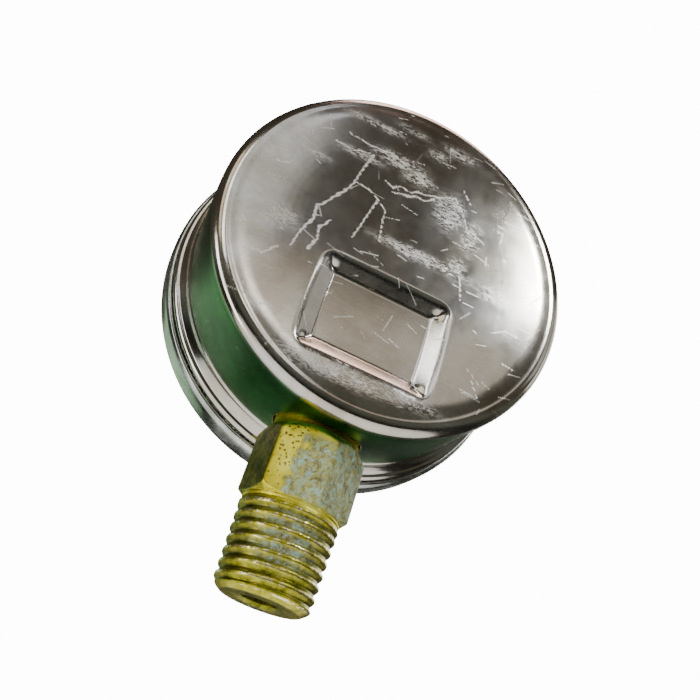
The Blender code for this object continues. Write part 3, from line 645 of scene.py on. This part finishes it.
# Crest wear is kept to the side that looks back, where its pale colour is a painted highlight
crest = (1 - smooth(0.0, 0.12, groove_grid)) * on_thread * smooth(1.9, 0.9, np.abs(facing))
pits = on_hex * front_flat * smooth(0.6, -0.6, across - patch_edge)
print("patina share", round(float((patina > 0.5).mean()), 3))

# %% The stem object
maps = {"patina": patina, "tarnish": tarnish, "crest": crest, "pits": pits}
# The bore and the end face are fully olive: painted shade on the end face and in the bore
for key, values in maps.items():
    in_bore = np.full(bore_skin.shape[:2], 1.0 if key == "tarnish" else 0.0)
    maps[key] = np.concatenate([in_bore, values])
stem = skin("stem_brass", whole_stem, **maps)


# %% [markdown]
# Inside the case the brass bar goes on as a block and a tongue, which carry the tube and the movement.
# They are milled blocks, so they are boxes with bevelled edges, and the movement screws enter them in holes.
# The pocket for the tube's fixed end is cut with a Boolean, as a cutter would mill it.


# %% Socket block and tongue
def box_piece(name, low, high, bevel):
    mesh = bpy.data.meshes.new(name)
    ends = (low, high)
    corners = [(ends[i & 1][0], ends[i >> 1 & 1][1], ends[i >> 2 & 1][2]) for i in range(8)]
    sides = [(0, 2, 3, 1), (4, 5, 7, 6), (0, 1, 5, 4), (2, 6, 7, 3), (0, 4, 6, 2), (1, 3, 7, 5)]
    mesh.from_pydata([tuple(c * MM for c in corner) for corner in corners], [], sides)
    piece = bpy.data.objects.new(name, mesh)
    bpy.context.scene.collection.objects.link(piece)
    if bevel:
        edge = piece.modifiers.new("Milled edge", "BEVEL")
        edge.width, edge.segments = bevel * MM, 2
    return piece


BLOCK_HALF = 6.5
BLOCK_FRONT_Y = -6.0
BLOCK_SPAN = (24.05, DIAL_Z - 17.6)
TONGUE_FRONT_Y = 2.5
MILLED_EDGE = 0.3
SCREW_X, SCREW_DZ, SCREW_HOLE_R = 4.2, -9.8, 0.95
TUBE_R, TUBE_Y = 20.5, 1.0
FIXED, FREE = radians(250), radians(-25)    # where the tube starts and ends

block = box_piece("socket_block", (-BLOCK_HALF, BLOCK_FRONT_Y, BLOCK_SPAN[0]),
                  (BLOCK_HALF, stem_high[1], BLOCK_SPAN[1]), MILLED_EDGE)
tongue = box_piece("socket_tongue", (-BLOCK_HALF, TONGUE_FRONT_Y, BLOCK_SPAN[1] - 4),
                   (BLOCK_HALF, stem_high[1], stem_high[2]), MILLED_EDGE)
pocket = box_piece("pocket", (-1.4, -3.55, -2.5), (1.4, 3.55, 7.2), 0)
fixed_end = Vector((TUBE_R * cos(FIXED), TUBE_Y, DIAL_Z + TUBE_R * sin(FIXED))) * MM
pocket.matrix_world = Matrix.Translation(fixed_end) @ Matrix.Rotation(-FIXED, 4, "Y")
bpy.context.view_layer.update()
apply_steps(tongue)
combine(block, tongue, "UNION")
for x in (-SCREW_X, SCREW_X):
    combine(block, drill(x, DIAL_Z + SCREW_DZ, SCREW_HOLE_R, (1.0, 7.0)))
combine(block, pocket)
apply_steps(block)
print("socket block:", len(block.data.polygons), "faces")


# %% [markdown]
# ## Tarnished brass
# Bright brass is a strong yellow metal, tarnished brass is olive, and patina is not metal at all: it is
# a matt, pale green salt. So patina lowers metallic and raises roughness, while a rubbed crest does the
# reverse. The pits are dark specks 0.3 mm across.

# %% Material: turned brass with patina
def turned_brass():
    material, tree, shader = start("turned_brass_tarnished")
    drift = grain(tree, 4.0, detail=4)
    base = ramp(tree, drift, (0.30, "#b9aa20"), (0.50, "#dcd03e"), (0.70, "#f1eb68"))
    ragged = grain(tree, 0.7, detail=6, rough=0.7, twist=0.8)
    olive = ramp(tree, grain(tree, 2.0, detail=4), (0.35, "#3e4812"), (0.52, "#6f701e"), (0.72, "#968e3a"))
    thin = ramp(tree, ragged, (0.22, 0.55), (0.55, 1.0))
    # The olive cover is real tarnish, plus painted shade on the side flats and on the end face
    tarnished_and_shaded = maths(tree, "MULTIPLY", stored(tree, "tarnish"), thin)
    base = blend_colour(tree, tarnished_and_shaded, base, olive)
    contact = ramp(tree, grain(tree, 0.9, detail=5, rough=0.7), (0.49, 0.0), (0.57, 1.0))
    # Pale cream on the crests: rubbed brass, plus a painted highlight on the side that looks back
    rubbed_and_highlight = maths(tree, "MULTIPLY", stored(tree, "crest"), contact)
    base = blend_colour(tree, rubbed_and_highlight, base, "#f7ecb4")
    cells = add(tree, "ShaderNodeTexVoronoi", {"Vector": place(tree), "Scale": 1 / 0.55, "Randomness": 1.0})
    holes = ramp(tree, cells.outputs["Distance"], (0.22, 1.0), (0.34, 0.0))
    some = ramp(tree, grain(tree, 0.9, detail=2), (0.36, 0.0), (0.46, 1.0))
    pitted = maths(tree, "MULTIPLY", stored(tree, "pits"), maths(tree, "MULTIPLY", holes, some))
    base = blend_colour(tree, maths(tree, "MULTIPLY", pitted, 0.8), base, "#4a3320")
    flakes = grain(tree, 1.1, detail=8, rough=0.72, twist=1.2)
    salts = ramp(tree, flakes, (0.33, "#2c2b1a"), (0.43, "#6d6f5e"), (0.50, "#a8a985"),
                 (0.56, "#94c4ba"), (0.68, "#d2f2e8"))
    crust = maths(tree, "MULTIPLY", stored(tree, "patina"), ramp(tree, ragged, (0.34, 0.25), (0.56, 1.0)))
    crust = maths(tree, "SUBTRACT", crust, maths(tree, "MULTIPLY", rubbed_and_highlight, 0.8), clamp=True)
    base = blend_colour(tree, maths(tree, "MULTIPLY", crust, 0.88), base, salts)
    tree.links.new(base, shader.inputs["Base Color"])
    metal = ramp(tree, crust, (0.15, 1.0), (0.80, 0.15))
    tree.links.new(metal, shader.inputs["Metallic"])
    rough = ramp(tree, ragged, (0.30, 0.30), (0.70, 0.46))
    rough = blend_colour(tree, rubbed_and_highlight, rough, (0.22, 0.22, 0.22, 1))
    rough = blend_colour(tree, crust, rough, (0.72, 0.72, 0.72, 1))
    tree.links.new(rough, shader.inputs["Roughness"])
    relief = maths(tree, "ADD", maths(tree, "MULTIPLY", ragged, 0.6), maths(tree, "MULTIPLY", crust, 0.5))
    relief = maths(tree, "SUBTRACT", relief, pitted)
    bump(tree, shader, relief, 0.07, 0.7)
    return material


brass_bar = turned_brass()
for piece in (stem, block):
    piece.data.materials.append(brass_bar)
    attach(piece, "gauge_body")
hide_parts("socket")


# %% [markdown]
# ## The window and its rubber ring
# A gauge's window is a flat pane with ground edges. The rubber ring behind it keeps it from rattling.
# Glass is clear with an index of 1.5. A thin wash of roughness noise stands for fine wear on its outside.

# %% Window pane
pane_path = evenly(rounded_path([
    (0, WINDOW_LOW, 0), (26.8, WINDOW_LOW, 0.25), (27.0, -14.0, 0.1), (27.0, WINDOW_HIGH, 0.25),
    (0, WINDOW_HIGH, 0),
]), 2.0)[1:-1]
pane = skin("window_pane", around_y(pane_path, 180))
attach(pane, "gauge_body")
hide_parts("window_glass")


def window_glass():
    material, tree, shader = start("clear_pane_glass")
    shader.inputs["Base Color"].default_value = linear("#f4faf8")
    shader.inputs["Transmission Weight"].default_value = 1.0
    shader.inputs["IOR"].default_value = 1.5
    wear = grain(tree, 2.5, detail=6)
    tree.links.new(ramp(tree, wear, (0.4, 0.01), (0.7, 0.06)), shader.inputs["Roughness"])
    return material


pane.data.materials.append(window_glass())

# %% Rubber ring, with a rounded section
RING_R, RING_Y = 26.15, -11.5
RING_HALF = (0.72, 0.48)
ring_turn = np.arange(20) * tau / 20
ring_path = np.stack([RING_R + RING_HALF[0] * np.cos(ring_turn), RING_Y + RING_HALF[1] * np.sin(ring_turn)],
                     axis=-1)
rubber_ring = skin("window_rubber_ring", around_y(ring_path, 180), ring=True)
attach(rubber_ring, "gauge_body")
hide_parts("window_gasket")


# %% [markdown]
# ## Simple finishes for the works
# Movement plates are stamped from brass sheet, with straight grain. Screws, arbors and the link are
# turned or stamped steel. The tube and the hairspring are phosphor bronze, which is redder. One maker can
# give all of these: a base colour that drifts, a grain direction and a grain spacing.

# %% Material maker: sheet or bar metal
def plain_metal(name, dark, mid, light, grain_mm, stretch, rough_low, rough_high):
    """A metal with its lathe or brushing lines every grain_mm, drawn at least 0.1 mm apart to show."""
    material, tree, shader = start(name)
    drift = grain(tree, 3.0, detail=4)
    base = ramp(tree, drift, (0.32, dark), (0.50, mid), (0.68, light))
    lines = grain(tree, grain_mm, scale=stretch, detail=3)
    base = blend_colour(tree, ramp(tree, lines, (0.48, 0.0), (0.75, 0.35)), base, light)
    tree.links.new(base, shader.inputs["Base Color"])
    shader.inputs["Metallic"].default_value = 1.0
    tree.links.new(ramp(tree, lines, (0.3, rough_low), (0.7, rough_high)), shader.inputs["Roughness"])
    bump(tree, shader, lines, 0.01, 0.5)
    return material


def enamel(name, dark, light, rough):
    """Stoved enamel on sheet: even colour, a slight orange peel 0.8 mm across."""
    material, tree, shader = start(name)
    drift = grain(tree, 6.0, detail=4)
    tree.links.new(ramp(tree, drift, (0.3, dark), (0.7, light)), shader.inputs["Base Color"])
    peel = grain(tree, 0.8, detail=2)
    tree.links.new(ramp(tree, peel, (0.3, rough - 0.06), (0.7, rough + 0.08)), shader.inputs["Roughness"])
    shader.inputs["IOR"].default_value = 1.5
    bump(tree, shader, peel, 0.008, 0.4)
    return material


FINISHES = {
    "movement_brass": plain_metal(
        "stamped_brass", "#a88943", "#c9aa5c", "#dcc37c", 0.12, (0.1, 1, 1), 0.22, 0.38),
    "tube_bronze": plain_metal(
        "drawn_phosphor_bronze", "#96653a", "#b98350", "#cf9f6c", 0.12, (1, 0.1, 1), 0.2, 0.36),
    "screw_steel": plain_metal(
        "turned_bright_steel", "#8e8f91", "#b3b4b6", "#cfd0d1", 0.1, (1, 0.2, 1), 0.18, 0.34),
    "pointer": enamel("black_stoved_enamel", "#060606", "#121212", 0.34),
    "dial": enamel("white_stoved_enamel", "#e6e4db", "#f3f2ec", 0.42),
    "rubber": enamel("moulded_black_rubber", "#0b0b0b", "#1c1b1a", 0.70),
}
rubber_ring.data.materials.append(FINISHES["rubber"])
slot_of = {row["node"]: row["material_slot"] for row in frame["record"]["subparts"]}
REPLACED = {"case", "bezel_ring", "socket", "window_glass", "window_gasket", "dial_plate", "pointer",
            "bourdon_tube"}
for name, node in nodes.items():
    if name in REPLACED:
        continue
    finish = FINISHES.get(slot_of[name], brass_bar)
    node.data.materials.clear()
    node.data.materials.append(finish)
print("finished", len(nodes) - len(REPLACED), "carried-over pieces")

# %% [markdown]
# ## The Bourdon tube
# The tube is a flattened bronze tube bent to a C. When pressure rises it opens a little, so it
# bends between its fixed end in the socket and its tip. An oval ring is swept along the arc, outside
# and then back along the inside, so that both ends are open.

# %% Tube
def tube_section(thick, wide, angle, sides=28):
    turn = np.arange(sides) * tau / sides
    radius = TUBE_R + thick / 2 * np.cos(turn)
    y = TUBE_Y + wide / 2 * np.sin(turn)
    return np.stack([radius * cos(angle), y, DIAL_Z + radius * sin(angle)], axis=-1)


TUBE_OUTSIDE, TUBE_INSIDE = (2.2, 6.5), (1.5, 5.8)      # thickness and width of the flattened section
arc = np.linspace(FIXED, FREE, 90)
tube_rows = [tube_section(*TUBE_OUTSIDE, angle) for angle in arc]
tube_rows += [tube_section(*TUBE_INSIDE, angle) for angle in arc[::-1]]
tube = skin("bourdon_tube_bronze", np.array(tube_rows), ring=True)
tube.data.materials.append(FINISHES["tube_bronze"])
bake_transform(tube)
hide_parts("bourdon_tube")

# %% [markdown]
# ## Dial, ticks and numbers
# The dial is a white enamelled disc. Its scale is printed, but print has a thickness too, so ticks and
# numbers are thin shapes that stand 0.03 mm proud. The scale runs through 270 degrees, from 0 at
# the lower left to 10 at the lower right, with plain numbers only.

# %% Dial disc
SWEEP, ZERO = radians(270), radians(225)
PRINT_Y = DIAL_FRONT - 0.03
DIAL_REAR = DIAL_FRONT + 0.4
DIAL_HOLE_R = 1.2
DIAL_SCREW_X, DIAL_SCREW_DZ = 5.5, -4.0
dial_path = evenly(rounded_path([
    (DIAL_HOLE_R, DIAL_REAR, 0), (DIAL_HOLE_R, DIAL_FRONT, 0.05), (DIAL_R, DIAL_FRONT, 0.08),
    (DIAL_R, DIAL_REAR, 0.08), (DIAL_HOLE_R, DIAL_REAR, 0),
]), 1.5)
dial = skin("dial_disc", around_y(dial_path[:-1], 180), ring=True)
dial.data.materials.append(FINISHES["dial"])
stop_low, stop_high = box_mm("zero_stop_pin")
stop_x, stop_z = (stop_low[0] + stop_high[0]) / 2, (stop_low[2] + stop_high[2]) / 2
screws_z = DIAL_Z + DIAL_SCREW_DZ
for x, z, radius in ((-DIAL_SCREW_X, screws_z, 0.95), (DIAL_SCREW_X, screws_z, 0.95), (stop_x, stop_z, 0.8)):
    combine(dial, drill(x, z, radius, (DIAL_FRONT - 1, DIAL_FRONT + 1)))
    apply_steps(dial)
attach(dial, "gauge_body")
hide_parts("dial_plate")

# %% Ticks as one mesh of thin bars
DIVISIONS = 50
TICK_OUTER = 22.2
MAJOR, MINOR = (19.2, 0.22), (20.6, 0.09)               # inner radius and half width
verts, faces = [], []
for k in range(DIVISIONS + 1):
    angle = ZERO - SWEEP * k / DIVISIONS
    inner, half = MAJOR if k % 5 == 0 else MINOR
    along, side = Vector((cos(angle), 0, sin(angle))), Vector((-sin(angle), 0, cos(angle)))
    base = len(verts)
    for y in (DIAL_FRONT - 0.002, PRINT_Y):
        for reach, lean in ((inner, -1), (TICK_OUTER, -1), (TICK_OUTER, 1), (inner, 1)):
            point = Vector((0, y, DIAL_Z)) + along * reach + side * half * lean
            verts.append(point * MM)
    faces += [[base + i for i in face] for face in (
        (0, 1, 2, 3), (4, 7, 6, 5), (0, 4, 5, 1), (1, 5, 6, 2), (2, 6, 7, 3), (3, 7, 4, 0))]
tick_mesh = bpy.data.meshes.new("dial_ticks")
tick_mesh.from_pydata(verts, [], faces)
ticks = bpy.data.objects.new("dial_ticks", tick_mesh)
bpy.context.scene.collection.objects.link(ticks)
ticks.data.materials.append(FINISHES["pointer"])
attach(ticks, "gauge_body")
print("ticks:", DIVISIONS + 1)

# %% Numbers, from Blender's own font
NUMBER_R, NUMBER_SIZE = 16.6, 3.4
for value in range(11):
    angle = ZERO - SWEEP * value / 10
    curve = bpy.data.curves.new(f"dial_number_{value}", "FONT")
    curve.body = str(value)
    curve.size = NUMBER_SIZE * MM
    curve.extrude = 0.014 * MM
    curve.align_x, curve.align_y = "CENTER", "CENTER"
    number = bpy.data.objects.new(f"dial_number_{value}", curve)
    number.rotation_euler = (pi / 2, 0, 0)
    place_mm = (NUMBER_R * cos(angle), DIAL_FRONT - 0.016, DIAL_Z + NUMBER_R * sin(angle))
    number.location = Vector(place_mm) * MM
    bpy.context.scene.collection.objects.link(number)
    number.data.materials.append(FINISHES["pointer"])
    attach(number, "gauge_body")
print("numbers: 0 to", value)

# %% [markdown]
# ## The pointer
# The pointer is blanked from thin sheet: a long taper, a round eye and a broad tail that balances it. A
# small bevel gives its edges the light line that enamelled sheet has. It rides on the pinion's body.

# %% Pointer blade
EYE_R = 1.75
pointer_low, pointer_high = box_mm("pointer")
outline = [(19.4, 0.05), (18.8, 0.16), (3.2, 0.7), (2.5, 1.3)]
outline += [(2.3 * cos(t), 2.3 * sin(t)) for t in np.linspace(radians(40), radians(140), 9)]
outline += [(-2.5, 1.3), (-3.4, 0.8), (-5.0, 0.8), (-6.2, 1.6), (-7.4, 1.6), (-7.8, 0.9)]
outline += [(x, -z) for x, z in reversed(outline)]
rest = [(x * cos(ZERO) - z * sin(ZERO), x * sin(ZERO) + z * cos(ZERO)) for x, z in outline]
blade_mesh = bpy.data.meshes.new("pointer_blade")
count = len(rest)
verts = [Vector((x, y, DIAL_Z + z)) * MM for y in (pointer_low[1], pointer_high[1]) for x, z in rest]
sides = [(k, (k + 1) % count, count + (k + 1) % count, count + k) for k in range(count)]
blade_mesh.from_pydata(verts, [], [tuple(range(count))[::-1], tuple(range(count, 2 * count)), *sides])
blade_mesh.validate()
blade = bpy.data.objects.new("pointer_blade", blade_mesh)
bpy.context.scene.collection.objects.link(blade)
combine(blade, drill(0, DIAL_Z, EYE_R, (-12.5, -9.0), sides=32))
edge = blade.modifiers.new("Edge", "BEVEL")
edge.width, edge.segments = 0.05 * MM, 2
apply_steps(blade)
blade.data.materials.append(FINISHES["pointer"])
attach(blade, "pointer_body")
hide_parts("pointer")
print("pointer:", len(blade.data.polygons), "faces")

# %% [markdown]
# ## Camera
# The gauge is seen from behind and below, close up: the camera stands about 11 cm from the back, so the
# stem, which comes toward it, looks large. The camera's axes are given in the object's frame as a
# direction to look in and a direction that is up in the picture.

# %% Camera
eye_at = Vector((24.1, 97.9, -16.6)) * MM
look = Vector((-0.1289, -0.8682, 0.4791)).normalized()      # into the picture
right = Vector((-0.8956, 0.3094, 0.3197))
up = right.cross(look).normalized()
right = look.cross(up)
camera_data = bpy.data.cameras.new("Camera")
camera_data.sensor_width = 36
camera_data.lens = 36 * 8 / 7               # about 47 degrees across
camera_data.shift_x, camera_data.shift_y = 0.090, -0.050
camera_data.clip_start = 0.01
camera = bpy.data.objects.new("Camera", camera_data)
camera.matrix_world = Matrix.Translation(eye_at) @ Matrix((right, up, -look)).transposed().to_4x4()
bpy.context.scene.collection.objects.link(camera)
bpy.context.scene.camera = camera
print("camera:", round((eye_at - Vector((0, BACK_Y, DIAL_Z)) * MM).length, 3), "m from the back's middle")

# %% [markdown]
# ## Light and floor
# Polished metal shows its surroundings, so each light is a soft panel, shaped for what it does in a
# reflection. A panel is placed by the direction in which it lies from the gauge, and its power follows
# from its area and from how bright its face should be. Directions that should look dark stay empty.
# The world is a dim grey that fills the shadows, and white where the camera looks straight at it.


# %% Lights
PANEL_REACH = 0.6              # metres from the gauge to every panel


def panel(name, direction, size, brightness, colour):
    light = bpy.data.lights.new(name, "AREA")
    light.shape = "RECTANGLE"
    light.size, light.size_y = size
    light.energy = 4 * size[0] * size[1] * brightness
    light.color = linear(colour)[:3]
    lamp = bpy.data.objects.new(name, light)
    way = Vector(direction).normalized()
    lamp.location = Vector((0, 0, 0.045)) + way * PANEL_REACH
    lamp.rotation_euler = way.to_track_quat("Z", "Y").to_euler()
    bpy.context.scene.collection.objects.link(lamp)


PANELS = {                     # direction from the gauge, width and height in metres, brightness, colour
    "main_panel": ((-0.14, 0.88, 0.40), (0.44, 0.12), 0.55, "#fbf3e6"),
    "low_panel": ((0.02, 0.94, 0.31), (0.18, 0.08), 2.2, "#f4f4f6"),
    "left_panel": ((0.14, 0.78, 0.57), (0.16, 0.38), 1.0, "#eef2fa"),
    "bright_strip": ((0.40, 0.76, 0.46), (0.07, 0.32), 4.5, "#ffffff"),
    "window": ((-0.47, 0.63, 0.61), (0.06, 0.10), 60.0, "#f6faff"),
    "ceiling": ((-0.10, 0.15, 0.97), (0.30, 0.20), 4.0, "#ffdcd2"),
    "cream_wall": ((0.66, 0.60, 0.45), (0.16, 0.34), 1.4, "#fff4dc"),
    "far_wall": ((-0.90, 0.05, 0.42), (0.22, 0.30), 1.2, "#f0f4f0"),
    "right_wall": ((-0.76, 0.46, 0.46), (0.14, 0.20), 0.5, "#ffffff"),
    "low_left": ((0.84, 0.25, -0.28), (0.14, 0.50), 5.5, "#ffffff"),
    "low_right": ((-0.45, 0.35, -0.80), (0.20, 0.12), 2.5, "#ffffff"),
    "front_low": ((0.50, -0.86, -0.06), (0.30, 0.30), 0.9, "#b4dcb4"),
    "front_right": ((-0.74, -0.56, 0.42), (0.34, 0.34), 4.0, "#ffffff"),
    "front_top": ((-0.10, -0.62, 0.78), (0.40, 0.24), 14.0, "#ffffff"),
}
for name, (direction, size, brightness, colour) in PANELS.items():
    panel(name, direction, size, brightness, colour)
print("panels:", len(PANELS))

# %% World
world = bpy.data.worlds.new("studio")
bpy.context.scene.world = world
world.use_nodes = True
tree = world.node_tree
sky = tree.nodes["Background"]
coords = add(tree, "ShaderNodeTexCoord").outputs["Generated"]
split = add(tree, "ShaderNodeSeparateXYZ", {"Vector": coords})
lift = maths(tree, "ADD", maths(tree, "MULTIPLY", split.outputs["Z"], 0.5), 0.5)
room = ramp(tree, lift, (0.0, "#20201d"), (0.38, "#33332e"), (0.52, "#8f948a"), (0.62, "#6f695e"),
            (1.0, "#5c564c"))
tree.links.new(room, sky.inputs["Color"])
sky.inputs["Strength"].default_value = 0.55
bright = add(tree, "ShaderNodeBackground", {"Color": (1, 1, 1, 1), "Strength": 14.0})
seen = add(tree, "ShaderNodeLightPath").outputs["Is Camera Ray"]
either = add(tree, "ShaderNodeMixShader", {0: seen, 1: sky.outputs[0], 2: bright.outputs[0]})
tree.links.new(either.outputs[0], tree.nodes["World Output"].inputs["Surface"])

# %% Floor
FLOOR_Z, FLOOR_REACH = -0.35, 0.6
corners = [(x * FLOOR_REACH, y * FLOOR_REACH, FLOOR_Z) for x, y in ((-1, -1), (1, -1), (1, 1), (-1, 1))]
floor_mesh = bpy.data.meshes.new("floor")
floor_mesh.from_pydata(corners, [], [(0, 1, 2, 3)])
floor = bpy.data.objects.new("floor", floor_mesh)
bpy.context.scene.collection.objects.link(floor)
pale, pale_tree, pale_shader = start("pale_floor")
floor_colour = ramp(pale_tree, grain(pale_tree, 40, detail=2), (0.3, "#e9e9e7"), (0.7, "#f2f2f0"))
pale_tree.links.new(floor_colour, pale_shader.inputs["Base Color"])
pale_shader.inputs["Roughness"].default_value = 0.8
pale_tree.links.new(floor_colour, pale_shader.inputs["Emission Color"])
pale_shader.inputs["Emission Strength"].default_value = 0.9
floor.data.materials.append(pale)
print("floor at", FLOOR_Z, "m")
